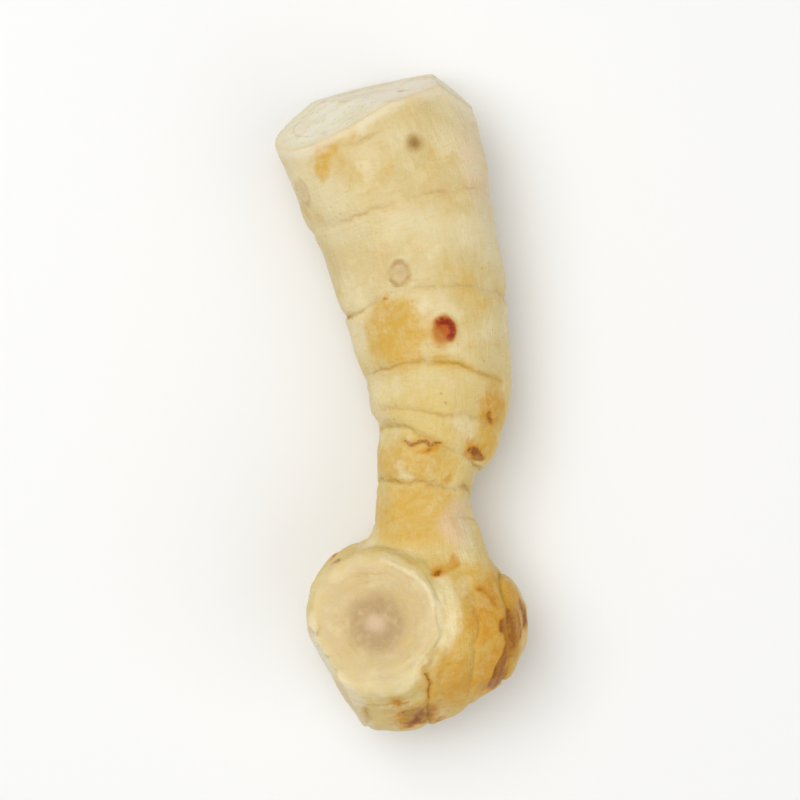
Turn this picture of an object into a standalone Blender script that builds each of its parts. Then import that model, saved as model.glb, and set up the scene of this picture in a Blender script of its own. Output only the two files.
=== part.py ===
"""A cut piece of galangal rhizome: a ringed finger that narrows to a neck and
joins a short thick barrel, with the stub of a stem and its dished round scar.

The root lies on a surface at z = 0, with its finger towards +Y and the stem
scar facing up. Lengths in the tables are millimetres, and angles are degrees.
"""

import math

import bmesh
import bpy
import numpy as np
from mathutils import Matrix, Vector

MM = 0.001

# A limb is a row of oval sections. Columns of the section tables: place along the
# limb's own Y, middle in its own X and Z, half the width and half the depth there.
FINGER_SECTIONS = (
    (62.0, -12.4, 12.2, 13.4, 11.2),
    (47.6, -7.3, 12.3, 14.5, 12.2),
    (35.7, -2.1, 12.3, 14.8, 12.5),
    (23.8, 1.5, 12.1, 13.3, 11.6),
    (11.9, 4.2, 12.0, 11.8, 10.8),
    (1.0, 5.2, 12.2, 10.6, 10.0),
    (-4.8, 4.9, 12.5, 9.7, 9.3),
    (-8.8, 3.6, 12.9, 8.0, 8.5),
    (-13.0, 3.1, 13.2, 7.1, 8.0),
    (-17.0, 3.0, 13.4, 7.1, 8.1),
    (-21.5, 3.4, 13.5, 8.2, 8.9),
    (-27.0, 3.6, 13.3, 10.6, 10.2),
    (-34.0, 3.0, 13.0, 9.5, 9.0),
)
BARREL_SECTIONS = (
    (-14.0, 32.0, 12.4, 3.4, 3.4),
    (-13.0, 32.2, 12.4, 7.2, 6.6),
    (-10.6, 32.9, 12.5, 11.2, 9.8),
    (-5.6, 34.3, 12.5, 14.8, 11.9),
    (-1.0, 34.9, 12.5, 15.2, 12.7),
    (4.0, 34.9, 12.5, 14.1, 12.8),
    (8.7, 34.6, 12.4, 12.5, 12.2),
    (14.0, 34.4, 12.3, 8.9, 9.8),
    (17.4, 34.3, 12.2, 5.4, 6.4),
    (18.9, 34.3, 12.2, 2.6, 3.0),
)
STUB_SECTIONS = (
    (-19.5, 0.0, 0.0, 6.2, 6.4),
    (-18.0, 0.0, 0.0, 8.2, 8.4),
    (-14.0, 0.0, 0.0, 9.8, 10.2),
    (-8.0, 0.1, 0.2, 10.6, 10.7),
    (-3.0, 0.0, 0.3, 10.5, 10.4),
    (-0.9, 0.0, 0.2, 10.1, 10.0),
)

# Leaf scars. Columns: place along the limb, how far the line arches towards the
# limb's start on the upper side, and how strongly it shows.
FINGER_RINGS = (
    (49.5, 1.0, 0.5),
    (39.0, 1.6, 0.5),
    (28.0, 2.2, 0.7),
    (14.4, 2.4, 0.9),
    (3.4, 2.3, 1.1),
    (-3.6, 1.6, 0.6),
    (-8.6, 2.2, 1.2),
    (-13.4, 0.8, 0.9),
    (-18.8, 0.6, 0.6),
)
BARREL_RINGS = (
    (-9.6, 0.0, 0.6),
    (-4.0, 0.4, 0.8),
    (3.4, 0.9, 1.2),
    (9.8, 0.8, 0.7),
    (15.2, 0.3, 1.3),
)
STUB_RINGS = ((-12.0, 0.5, 0.8), (-5.6, -0.4, 0.8))
# The top of each arch lies this far round from straight up.
ARCH_LEAN = 18.0
# Plain rows of the finger that end inside the barrel.
FINGER_TAIL = (-26.0, -33.0)

# Waves round and along a limb. Columns: height, lobes round it, turn in radians for
# each millimetre along it, and start.
UNEVENNESS = (
    (0.34, 3, 0.11, 0.8),
    (0.26, 2, -0.17, 2.1),
    (0.16, 5, 0.31, 0.0),
    (0.10, 7, -0.53, 1.3),
)
RING_WAVER = ((0.4, 3, 0.13, 0.0), (0.2, 5, -0.3, 0.0))
# A leaf scar's strength rises and falls round the limb about this mean.
RING_MEAN = 0.75
RING_FADE = ((0.25, 2, 0.4, 0.0),)
# The stem scar's outline, as a share of its radius, and its rim's lean.
RIM_OUTLINE = ((0.04, 2, 0.0, 0.6), (0.025, 5, 0.0, 0.2))
RIM_LEAN = ((0.5, 1, 0.0, -2.2), (0.12, 4, 0.0, 1.0))
# The limb's slope at a place is taken from this far on either side.
SLOPE_REACH = 0.5

# Skin between two leaf scars. Columns: place from one scar to the next, height.
INTERNODE = (
    (0.0, -0.26),
    (0.07, 0.16),
    (0.24, 0.12),
    (0.55, 0.34),
    (0.90, 0.10),
)

# Rim of the stem scar, on the end of the stub, and the hollow that is cut inside it.
# Columns: radius, height, and how much the rim's lean shows there.
STEM_RIM = ((9.8, -0.1, 1.0), (9.3, 0.15, 1.0))
STEM_HOLLOW = (
    (9.9, 3.0, 1.0),
    (9.0, 0.45, 1.0),
    (8.1, 0.0, 0.8),
    (6.8, -0.3, 0.5),
    (5.4, -0.6, 0.2),
    (4.3, -1.05, 0.1),
    (3.0, -1.55, 0.0),
    (1.3, -1.35, 0.0),
)

# Root scars: low buttons with a dimple. Columns: place along the limb, angle from
# the limb's own X towards its upper side, radius.
ROOT_SCARS = {
    "finger": (
        (36.8, 72.0, 1.5),
        (20.0, 104.0, 1.9),
        (10.2, 82.0, 2.1),
        (-2.4, 24.0, 1.3),
        (36.5, 152.0, 1.8),
        (43.0, 305.0, 1.9),
        (33.0, 262.0, 2.0),
        (24.5, 322.0, 1.7),
        (21.5, 205.0, 1.6),
        (13.0, 248.0, 2.0),
        (6.5, 296.0, 1.7),
        (0.5, 215.0, 1.5),
    ),
    "barrel": (
        (6.6, 300.0, 1.9),
        (11.4, 215.0, 1.8),
        (-2.0, 262.0, 2.0),
        (-8.0, 232.0, 1.8),
        (12.0, 40.0, 1.5),
    ),
    "stub": ((-9.4, 20.0, 1.7), (-9.6, 262.0, 1.6)),
}
SCAR_SIDES = 10
SCAR_ROOT = 2.0
# Height of the oval over its width, and the way that its width runs across.
SCAR_OVAL = 0.86
SCAR_TURN = (0.3, 0.9, 0.1)
# Columns: share of the scar's radius, height over the skin.
SCAR_OUTLINE = ((1.0, -0.25), (0.8, 0.28), (0.5, 0.30), (0.28, -0.02))

# Knife cuts. Columns: a point on the cut, and the way that it faces.
CUTS = (
    ((0.2, 45.4, 23.0), (-0.25, 0.94, 0.24)),
    ((-4.6, 42.6, 24.8), (-0.47, 0.81, 0.35)),
    ((5.3, 49.2, 12.0), (0.60, 0.78, 0.15)),
    ((-8.6, -45.4, 13.0), (-0.85, -0.51, 0.10)),
)
BLADE = 60.0
# The underside is worn flat by this much where the root rests.
REST_FLAT = 0.6
FLOOR_SPREAD = 3.0

# Edges that turn by more than this stay sharp.
SHARP_EDGE = 35.0


def smooth(table, at):
    """Columns of a table at other values of its first one, without corners."""
    table = np.array(sorted(table), float)
    at = np.clip(np.atleast_1d(np.asarray(at, float)), table[0, 0], table[-1, 0])
    knots, values = table[:, 0], table[:, 1:]
    slopes = np.gradient(values, knots, axis=0)
    low = np.clip(np.searchsorted(knots, at, side="right") - 1, 0, len(knots) - 2)
    span = (knots[low + 1] - knots[low])[:, None]
    t = (at - knots[low])[:, None] / span
    start = (1 + 2 * t) * (1 - t) ** 2 * values[low] + t * (1 - t) ** 2 * span * slopes[low]
    end = t**2 * (3 - 2 * t) * values[low + 1] + t**2 * (t - 1) * span * slopes[low + 1]
    return (start + end).T


def unit(vectors):
    vectors = np.asarray(vectors, float)
    return vectors / np.linalg.norm(vectors, axis=-1, keepdims=True)


def waves(table, turns, places=0.0):
    """The sum of a table's waves at these turns and places."""
    total = 0.0
    for height, lobes, drift, start in table:
        total = total + height * np.cos(lobes * turns + drift * places + start)
    return total


class Limb:
    """A limb of the root, made along its own Y and set in place by a frame."""

    def __init__(
        self, sections, rings, columns, start, end, origin=(0, 0, 0), along=(0, 1, 0), up=(0, 0, 1)
    ):
        self.sections, self.rings, self.start, self.end = sections, rings, start, end
        self.degrees = np.arange(columns) * 360.0 / columns
        self.origin = np.asarray(origin, float)
        along = unit(along)
        side = unit(np.cross(along, up))
        self.axes = np.array((side, along, np.cross(side, along)))

    def placed(self, points):
        return self.origin + points @ self.axes

    def skin(self, places, degrees, raised=0.0):
        """Points on the skin, and the ways that it faces there."""
        turns = np.radians(degrees)
        places = np.broadcast_to(np.asarray(places, float), turns.shape)
        x, z, half_width, half_depth = smooth(self.sections, places)
        ahead = smooth(self.sections, places + SLOPE_REACH)
        behind = smooth(self.sections, places - SLOPE_REACH)
        level = np.full_like(x, 2 * SLOPE_REACH)
        along = unit(np.stack((ahead[0] - behind[0], level, ahead[1] - behind[1]), axis=-1))
        side = unit(np.cross(along, (0.0, 0.0, 1.0)))
        up = np.cross(side, along)
        swell = waves(UNEVENNESS, turns, places) + raised
        across = ((half_width + swell) * np.cos(turns))[:, None] * side
        over = ((half_depth + swell) * np.sin(turns))[:, None] * up
        outward = (np.cos(turns) / half_width)[:, None] * side
        outward = outward + (np.sin(turns) / half_depth)[:, None] * up
        middle = np.stack((x, places, z), axis=-1)
        return self.placed(middle + across + over), unit(outward) @ self.axes

    def ring_row(self, place, height):
        """A row of skin that runs along the leaf scars, as high as they are strong."""
        turns = np.radians(self.degrees)
        arch, strength = smooth(self.rings, place)[:, 0]
        arched = arch * np.sin(turns - math.radians(ARCH_LEAN)) + waves(RING_WAVER, turns, place)
        shown = strength * (RING_MEAN + waves(RING_FADE, turns, place))
        return self.skin(place + arched, self.degrees, height * shown)[0]

    def rows(self):
        """Rows of skin along every internode, from the limb's start to its end."""
        marks = [self.start, *(ring[0] for ring in self.rings), self.end]
        return [
            self.ring_row(mark + (following - mark) * share, height)
            for mark, following in zip(marks, marks[1:])
            for share, height in INTERNODE
        ]

    def plain_rows(self, places):
        return [self.skin(place, self.degrees)[0] for place in places]


FINGER = Limb(FINGER_SECTIONS, FINGER_RINGS, columns=46, start=56.5, end=-22.5)
BARREL = Limb(BARREL_SECTIONS, BARREL_RINGS, columns=40, start=-12.0, end=17.8, along=(1, 0, 0))
STUB = Limb(
    STUB_SECTIONS,
    STUB_RINGS,
    columns=40,
    start=-17.0,
    end=-0.9,
    origin=(-4.2, -32.7, 25.6),
    along=(-0.13, 0.19, 0.97),
    up=(0, 1, 0),
)
LIMBS = {"finger": FINGER, "barrel": BARREL, "stub": STUB}


def finger_rows():
    return FINGER.rows() + FINGER.plain_rows(FINGER_TAIL)


def barrel_rows():
    ends = BARREL_SECTIONS[0][0], BARREL_SECTIONS[-1][0]
    return BARREL.plain_rows(ends[:1]) + BARREL.rows() + BARREL.plain_rows(ends[1:])


def stem_rows(profile):
    """Rows round the stub's own line, which follow the stem scar's rim."""
    turns = np.radians(STUB.degrees)
    spokes = np.stack((np.cos(turns), np.zeros_like(turns), np.sin(turns)), axis=-1)
    outline, lean = 1 + waves(RIM_OUTLINE, turns), waves(RIM_LEAN, turns)
    rows = []
    for radius, height, share in profile:
        row = spokes * (radius * outline)[:, None]
        row[:, 1] = height + share * lean
        rows.append(STUB.placed(row))
    return rows


def stub_rows():
    """The stub from inside the root to the rim of its stem scar."""
    return STUB.plain_rows((STUB_SECTIONS[0][0],)) + STUB.rows() + stem_rows(STEM_RIM)


def closed_skin(name, rows):
    """A closed mesh over rows of points, fanned to a point at each end."""
    mesh = bmesh.new()
    grid = [[mesh.verts.new(Vector(point) * MM) for point in row] for row in rows]
    for upper, lower in zip(grid, grid[1:]):
        for i, start in enumerate(upper):
            j = (i + 1) % len(upper)
            mesh.faces.new((start, upper[j], lower[j], lower[i]))
    for row in (grid[0], grid[-1]):
        middle = mesh.verts.new(sum((v.co for v in row), Vector()) / len(row))
        for i, start in enumerate(row):
            mesh.faces.new((start, row[(i + 1) % len(row)], middle))
    bmesh.ops.recalc_face_normals(mesh, faces=mesh.faces)
    data = bpy.data.meshes.new(name)
    mesh.to_mesh(data)
    mesh.free()
    return data


def add(name, data, collection=None):
    made = bpy.data.objects.new(name, data)
    (collection or bpy.context.scene.collection).objects.link(made)
    return made


def helper(made):
    """Marks an object that only cuts or joins another."""
    made.hide_render = True
    made.display_type = "WIRE"
    return made


def root_scar(name, limb, place, angle, radius, collection):
    """A low round button with a dimple, its foot sunk in the skin."""
    centres, outward = limb.skin(place, np.array([angle]))
    centre, facing = centres[0], outward[0]
    side = unit(np.cross(facing, SCAR_TURN))
    up = np.cross(facing, side)
    turns = np.arange(SCAR_SIDES) * 2 * math.pi / SCAR_SIDES
    spokes = np.cos(turns)[:, None] * side + SCAR_OVAL * np.sin(turns)[:, None] * up
    outline = [(0.8, -SCAR_ROOT), *SCAR_OUTLINE]
    rows = [centre + share * radius * spokes + height * facing for share, height in outline]
    return helper(add(name, closed_skin(name, rows), collection))


def root_scars():
    """Every root scar, in a collection of its own."""
    scars = bpy.data.collections.new("root_scars")
    bpy.context.scene.collection.children.link(scars)
    for name, rows in ROOT_SCARS.items():
        for number, (place, angle, radius) in enumerate(rows):
            root_scar(f"{name}_root_scar_{number}", LIMBS[name], place, angle, radius, scars)
    return scars


def blade(name, point, facing):
    """A block whose lower face is the cut through this point."""
    mesh = bmesh.new()
    bmesh.ops.create_cube(mesh, size=BLADE * MM)
    turn = Vector(facing).to_track_quat("Z", "Y").to_matrix().to_4x4()
    place = Matrix.Translation(Vector(point) * MM) @ turn
    mesh.transform(place @ Matrix.Translation((0.0, 0.0, BLADE / 2 * MM)))
    data = bpy.data.meshes.new(name)
    mesh.to_mesh(data)
    mesh.free()
    return helper(add(name, data))


def boolean(target, operation, other=None, collection=None):
    """Joins or cuts the target, and keeps only the outcome."""
    modifier = target.modifiers.new(operation.lower(), "BOOLEAN")
    modifier.operation = operation
    modifier.solver = "EXACT"
    if collection:
        modifier.operand_type = "COLLECTION"
        modifier.collection = collection
    else:
        modifier.object = other
    bpy.context.view_layer.update()
    result = target.evaluated_get(bpy.context.evaluated_depsgraph_get())
    data = bpy.data.meshes.new_from_object(result)
    target.modifiers.clear()
    target.data = data
    for used in list(collection.objects) if collection else [other]:
        bpy.data.objects.remove(used)


def set_down(root):
    """Puts the middle of the root's footprint at the origin, and its flats on z = 0."""
    corners = np.array([v.co for v in root.data.vertices])
    low, high = corners.min(axis=0), corners.max(axis=0)
    middle = (low + high) / 2
    root.data.transform(Matrix.Translation((-middle[0], -middle[1], -low[2])))


def skin_material():
    material = bpy.data.materials.new("galangal_skin")
    material.use_nodes = True
    surface = material.node_tree.nodes["Principled BSDF"]
    surface.inputs["Base Color"].default_value = (0.70, 0.52, 0.24, 1.0)
    surface.inputs["Roughness"].default_value = 0.5
    surface.inputs["Metallic"].default_value = 0.0
    return material


def galangal():
    for old in list(bpy.data.objects):
        bpy.data.objects.remove(old)
    root = add("galangal_rhizome", closed_skin("galangal_rhizome", finger_rows()))
    for name, rows in (("barrel", barrel_rows()), ("stub", stub_rows())):
        boolean(root, "UNION", helper(add(name, closed_skin(name, rows))))
    hollow = closed_skin("stem_hollow", stem_rows(STEM_HOLLOW))
    boolean(root, "DIFFERENCE", helper(add("stem_hollow", hollow)))
    boolean(root, "UNION", collection=root_scars())
    for number, (point, facing) in enumerate(CUTS):
        boolean(root, "DIFFERENCE", blade(f"cut_{number}", point, facing))
    lowest = min(v.co.z for v in root.data.vertices) / MM
    floor = blade("floor", (0.0, 0.0, lowest + REST_FLAT), (0.0, 0.0, -1.0))
    floor.scale = (FLOOR_SPREAD, FLOOR_SPREAD, 1.0)
    boolean(root, "DIFFERENCE", floor)
    set_down(root)
    root.data.materials.clear()
    root.data.materials.append(skin_material())
    root.data.shade_smooth()
    root.data.set_sharp_from_angle(angle=math.radians(SHARP_EDGE))
    return root


galangal()
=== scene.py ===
"""The looks of a cut piece of galangal rhizome, seen from above.

The rhizome is a ringed finger that narrows to a neck and joins a short thick
barrel, with the stub of a stem and its dished round scar. The fine skin is made
here from the same named sizes as the solid that it replaces. Lengths in the
tables are millimetres, and angles are degrees.
"""

import itertools
import math

import bmesh
import bpy
import numpy as np
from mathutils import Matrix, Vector


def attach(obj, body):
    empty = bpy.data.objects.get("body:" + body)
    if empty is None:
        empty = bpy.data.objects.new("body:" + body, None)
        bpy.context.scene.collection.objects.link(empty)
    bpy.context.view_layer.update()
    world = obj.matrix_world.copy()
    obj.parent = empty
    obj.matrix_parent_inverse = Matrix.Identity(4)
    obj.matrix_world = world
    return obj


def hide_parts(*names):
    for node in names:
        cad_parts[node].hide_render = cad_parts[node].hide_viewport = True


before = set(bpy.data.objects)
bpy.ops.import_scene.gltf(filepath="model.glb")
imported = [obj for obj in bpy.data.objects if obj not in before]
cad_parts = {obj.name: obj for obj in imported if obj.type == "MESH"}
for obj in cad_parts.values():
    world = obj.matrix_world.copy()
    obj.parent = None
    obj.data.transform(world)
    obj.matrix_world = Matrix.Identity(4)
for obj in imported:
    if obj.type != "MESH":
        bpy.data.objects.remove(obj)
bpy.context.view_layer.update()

NODE = "galangal_rhizome"
MM = 0.001
# The tables' origin, seen from the frame's.
SET_DOWN = np.array((0.455, -0.175, 0.194))

# A limb is a row of oval sections. Columns of the section tables: place along the
# limb's own Y, middle in its own X and Z, half the width and half the depth there.
FINGER_SECTIONS = (
    (62.0, -12.4, 12.2, 13.4, 11.2),
    (47.6, -7.3, 12.3, 14.5, 12.2),
    (35.7, -2.1, 12.3, 14.8, 12.5),
    (23.8, 1.5, 12.1, 13.3, 11.6),
    (11.9, 4.2, 12.0, 11.8, 10.8),
    (1.0, 5.2, 12.2, 10.6, 10.0),
    (-4.8, 4.9, 12.5, 9.7, 9.3),
    (-8.8, 3.6, 12.9, 8.0, 8.5),
    (-13.0, 3.1, 13.2, 7.1, 8.0),
    (-17.0, 3.0, 13.4, 7.1, 8.1),
    (-21.5, 3.4, 13.5, 8.2, 8.9),
    (-27.0, 3.6, 13.3, 10.6, 10.2),
    (-34.0, 3.0, 13.0, 9.5, 9.0),
)
BARREL_SECTIONS = (
    (-14.0, 32.0, 12.4, 3.4, 3.4),
    (-13.0, 32.2, 12.4, 7.2, 6.6),
    (-10.6, 32.9, 12.5, 11.2, 9.8),
    (-5.6, 34.3, 12.5, 14.8, 11.9),
    (-1.0, 34.9, 12.5, 15.2, 12.7),
    (4.0, 34.9, 12.5, 14.1, 12.8),
    (8.7, 34.6, 12.4, 12.5, 12.2),
    (14.0, 34.4, 12.3, 8.9, 9.8),
    (17.4, 34.3, 12.2, 5.4, 6.4),
    (18.9, 34.3, 12.2, 2.6, 3.0),
)
STUB_SECTIONS = (
    (-19.5, 0.0, 0.0, 6.2, 6.4),
    (-18.0, 0.0, 0.0, 8.2, 8.4),
    (-14.0, 0.0, 0.0, 9.8, 10.2),
    (-8.0, 0.1, 0.2, 10.6, 10.7),
    (-3.0, 0.0, 0.3, 10.5, 10.4),
    (-0.9, 0.0, 0.2, 10.1, 10.0),
)

# Leaf scars. Columns: place along the limb, how far the line arches towards the
# limb's start on the upper side, and how strongly it shows.
FINGER_RINGS = (
    (49.5, 1.0, 0.5),
    (39.0, 1.6, 0.4),
    (28.0, 2.2, 0.6),
    (14.4, 2.4, 0.9),
    (3.4, 2.3, 1.1),
    (-3.6, 1.6, 0.6),
    (-8.6, 2.2, 1.2),
    (-13.4, 0.8, 0.9),
    (-18.8, 0.6, 0.6),
)
BARREL_RINGS = (
    (-9.6, 0.0, 0.6),
    (-4.0, 0.4, 0.8),
    (3.4, 0.9, 1.2),
    (9.8, 0.8, 0.7),
    (15.2, 0.3, 1.3),
)
STUB_RINGS = ((-12.0, 0.5, 0.8), (-5.6, -0.4, 0.8))
# The top of each arch lies this far round from straight up.
ARCH_LEAN = 18.0

# Waves round and along a limb. Columns: height, lobes round it, turn in radians for
# each millimetre along it, and start.
UNEVENNESS = (
    (0.34, 3, 0.11, 0.8),
    (0.26, 2, -0.17, 2.1),
    (0.16, 5, 0.31, 0.0),
    (0.10, 7, -0.53, 1.3),
)
RING_WAVER = ((0.4, 3, 0.13, 0.0), (0.2, 5, -0.3, 0.0))
# A leaf scar's strength rises and falls round the limb about this mean.
RING_MEAN = 0.75
RING_FADE = ((0.25, 2, 0.4, 0.0),)
# A limb's two ends count as faint leaf scars.
END_STRENGTH = 0.4
# A leaf scar's line comes and goes: mean, swing, size of the patches, least and most.
RING_PATCHES = (0.60, 0.75, 6.5, 0.05, 1.25)
# Its groove and the lip past it, in millimetres, and a root scar's lip, pit and moat, in
# its own radii. Columns: height, distance, half width.
RING_PROFILE = ((-0.14, 0.0, 0.45), (0.10, 1.0, 0.55))
ROOT_SCAR_PROFILE = ((0.22, 0.9, 0.24), (-0.30, 0.0, 0.55), (-0.08, 1.45, 0.25))
ROOT_SCAR_DIMPLE = ((-0.10, 0.0, 0.55),)
# The stem scar's outline, as a share of its radius, and its rim's lean.
RIM_OUTLINE = ((0.04, 2, 0.0, 0.6), (0.025, 5, 0.0, 0.2))
RIM_LEAN = ((0.5, 1, 0.0, -2.2), (0.12, 4, 0.0, 1.0))
# The rim is highest, and runs into the barrel, this far round it in radians from the left.
RIM_HIGH = 2.3
RIM_MERGES = 3.8
# The stub bulges by this much, this far round it, over this width in radians, between
# these heights along it and these radii.
STUB_BULGE = (1.5, 0.85, 0.55)
BULGE_HEIGHTS, BULGE_RADII = (-15.0, -7.0), (5.0, 10.5, 13.0, 18.0)
# Under the scar's lower rim it spreads to a shoulder, in the same terms. Then come the
# shoulder's depth under the rim and half its height.
STUB_SHOULDER = (1.8, -1.55, 0.80, 5.0, 3.4)
SHOULDER_RADII = (8.4, 9.8, 13.0, 17.0)
# Where the rim merges, the groove outside it is filled by this much, at this radius and
# half width, and a band at this radius and half width is evened out.
MERGE_TURNS = (-0.2, 0.5)
GROOVE_FILL, GROOVE_HEIGHTS = (0.9, 12.0, 1.8), (-6.0, -1.5)
EVEN_BAND, EVEN_HEIGHTS = (1.0, 10.6, 2.4), (-6.0, -2.5)
# The rim's crest, and how far it rises on its high side, sinks elsewhere and is nicked.
CREST, CREST_HEIGHTS = (1.0, 9.2, 1.3), (-3.0, -1.5)
RIM_RISE, RIM_SINK, RIM_NICK = 0.22, 0.12, 0.45
# Nicks: how many come evenly round the rim, by how much, and the depth where they start.
NICKS = (9, 0.3, 0.25)
# Bundles of fibre show inside these radii. Ridges along the pale and brown marks.
BUNDLE_RADII = (3.6, 5.6)
SCAR_RIDGE, SKIN_RIDGE, SKIN_CRACK = (0.34, 0.0, 1.3), (0.16, 0.0, 1.2), (-0.10, 0.0, 1.2)
# Where the stem scar, its dish and its rim show: the height along the stub, and the
# distance from its middle line, from nothing to in full or back.
SCAR_HEIGHTS, SCAR_RADII = (-2.6, -1.9), (9.3, 10.1)
DISH_HEIGHTS, DISH_RADII = (-3.0, -2.4), (8.6, 9.3)
RIM_HEIGHTS, RIM_RADIUS = (-4.0, -2.0), 9.8
# The stem scar's colours start at this height along the stub.
STEM_COLOUR_FROM = -3.0
# The limb's slope at a place is taken from this far on either side.
SLOPE_REACH = 0.5

# Skin between two leaf scars. Columns: place from one scar to the next, height.
INTERNODE = (
    (0.0, -0.20),
    (0.07, 0.12),
    (0.24, 0.12),
    (0.55, 0.30),
    (0.90, 0.10),
    (1.0, -0.20),
)

# Stem scar on the end of the stub. Columns: radius, height, and how much the rim's
# lean towards the finger shows there.
STEM_SCAR = (
    (9.8, -0.1, 1.0),
    (9.0, 0.15, 1.0),
    (8.1, 0.0, 0.8),
    (6.8, -0.3, 0.5),
    (5.4, -0.6, 0.2),
    (4.3, -1.05, 0.1),
    (3.0, -1.55, 0.0),
    (1.3, -1.35, 0.0),
    (0.0, -1.3, 0.0),
)
STEM_SCAR_EDGE = STEM_SCAR[0][0]

# Root scars. Columns: place along the limb, angle from the limb's own X towards its
# upper side, radius across the limb, length over width, then how strongly it shows
# as a soft brown spot, as a thin ring, and as a dark red pit.
ROOT_SCARS = {
    "finger": (
        (36.8, 72, 1.8, 1, 1, 0, 0),
        (20, 104, 1.7, 1.15, 0.15, 0.9, 0),
        (10.2, 82, 1.9, 1.15, 0, 0, 1),
        (-2.4, 24, 1.1, 1.2, 0, 0, 0),
        (36.5, 152, 1.8, 1.2, 0.15, 0.4, 0),
        (43, 305, 1.9, 1.1, 0.5, 0.6, 0),
        (33, 262, 2, 1.2, 0.7, 0.5, 0.2),
        (24.5, 322, 1.7, 1.1, 0.2, 0.7, 0),
        (21.5, 205, 1.6, 1, 0.6, 0.4, 0),
        (13, 248, 2, 1.2, 0.3, 0.6, 0.8),
        (6.5, 296, 1.7, 1.1, 0.6, 0.5, 0),
        (0.5, 215, 1.5, 1, 0.7, 0.3, 0),
    ),
    "barrel": (
        (6.6, 300, 1.9, 1.1, 0.6, 0.5, 0.3),
        (11.4, 215, 1.8, 1, 0.5, 0.6, 0.6),
        (-2, 262, 2, 1.2, 0.4, 0.7, 0),
        (-8, 232, 1.8, 1.1, 0.6, 0.4, 0),
        (12, 40, 1.5, 1, 0.3, 0.2, 0),
    ),
    "stub": ((-9.4, 20, 1.7, 1.1, 0.5, 0.4, 0), (-9.6, 262, 1.6, 1, 0.3, 0.4, 0)),
}

# Knife cuts. Columns: a point on the cut, and the way that it faces.
CUTS = (
    ((0.2, 45.4, 23.0), (-0.25, 0.94, 0.24)),
    ((-4.6, 42.6, 24.8), (-0.47, 0.81, 0.35)),
    ((5.3, 49.2, 12.0), (0.60, 0.78, 0.15)),
    ((-8.6, -45.4, 13.0), (-0.85, -0.51, 0.10)),
)
# A cut lower in the picture than this goes through the barrel.
BARREL_CUT_BELOW = -38.0
# Fibres on the cuts are drawn out this way by the knife.
KNIFE_PULL = np.array((0.5, 0.2, -0.6))
# The underside is worn flat at this height in the tables' frame.
REST_HEIGHT = -0.194

# Blots of colour on the upper side. Columns: middle x and y, half sizes along and
# across, turn, strength.
BLOTS = {
    "ochre": (
        (-11.5, 36.6, 3, 1.5, 80, 1),
        (-8, 40.2, 2.2, 1, 35, 0.85),
        (-7.2, 33, 4.6, 2.2, 120, 0.40),
        (-0.8, 9.9, 5.4, 5.2, 100, 1),
        (11, 15.6, 5, 1.3, -16, 0.40),
        (9.5, 12, 4, 6, 0, 0.30),
        (1.5, -8.8, 7, 3.4, 0, 0.70),
        (2, -17, 7, 5, 0, 0.72),
        (13.2, -2.8, 2.2, 6, 0, 1),
        (12.2, -33, 7.6, 9, 0, 1),
        (9.6, -42, 6.8, 6.4, 0, 1),
        (-1.2, -45.6, 2, 2.4, 0, 0.60),
    ),
    "orange": (
        (13.6, -31, 5.4, 3.4, 60, 0.80),
        (7.4, -42, 5, 3, 70, 0.55),
        (13.6, -39.6, 5.4, 3, 65, 0.80),
        (16.2, -34.6, 2, 6, 0, 1),
        (2, -47, 4.2, 2.4, 15, 0.6),
        (5, -25.3, 1.5, 1.3, 15, 1),
        (7.1, -23.8, 1.5, 1.1, 35, 1),
        (-10.8, -23.2, 1.1, 0.6, 35, 0.8),
        (4.2, -7.3, 1.4, 0.7, 0, 0.9),
        (6.2, -11.5, 1.4, 0.6, 30, 0.6),
        (3.4, -12.6, 1, 0.6, 10, 0.4),
        (13, -1.6, 1.8, 3, 0, 0.75),
        (11, -7.2, 1.8, 1.4, 0, 0.75),
        (6, 9.8, 2.2, 1.6, 60, 0.55),
    ),
    "brown": (
        (16.3, -34.4, 1.7, 3.7, 0, 1.6),
        (14.4, -40.6, 0.9, 3.6, -28, 1.5),
        (12.6, -29.6, 2.2, 0.8, -50, 0.55),
        (2.4, -47.6, 3.6, 1.8, 15, 0.78),
        (-0.4, -44.6, 1.6, 1.2, 0, 0.55),
        (-10.7, -23.2, 0.7, 0.5, 0, 0.7),
        (13.1, -2.4, 0.8, 1.1, 0, 0.95),
        (11.2, -7.6, 1.1, 0.9, 0, 0.95),
        (4.7, -25.6, 1.1, 0.7, 20, 0.7),
        (4.2, -7.3, 0.7, 0.5, 20, 0.7),
        (-0.5, 47.6, 0.6, 0.5, 0, 0.6),
        (-2.2, 14.7, 0.35, 0.3, 0, 0.6),
    ),
    "pale": (
        (-5.2, -3, 3.4, 0.8, 15, 0.6),
        (1.4, -39.6, 5.4, 1.9, 42, 1),
        (-7, -42.5, 4.6, 4, 30, 0.6),
        (6.2, -31.8, 2.4, 5.4, 8, 1),
        (8.4, -28, 2.6, 1.4, 20, 0.5),
        (1, -21.6, 6, 1.4, 0, 0.3),
        (-4, 27, 5, 7, 0, 0.35),
        (-7.4, 13, 2.8, 6.4, 8, 0.75),
        (-4.6, 0.4, 2.6, 4.4, 0, 0.6),
        (11.8, 33, 2.4, 12, 8, 0.4),
    ),
    "pink": (
        (11, 36, 2.2, 9, 10, 0.6),
        (3, 49, 3, 2, 0, 0.5),
        (8, -18.5, 2.8, 3.6, 0, 0.7),
        (17.5, -38, 2, 4, 0, 0.4),
        (-3.6, 20.6, 3.6, 3, 0, 0.3),
    ),
}

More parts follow.
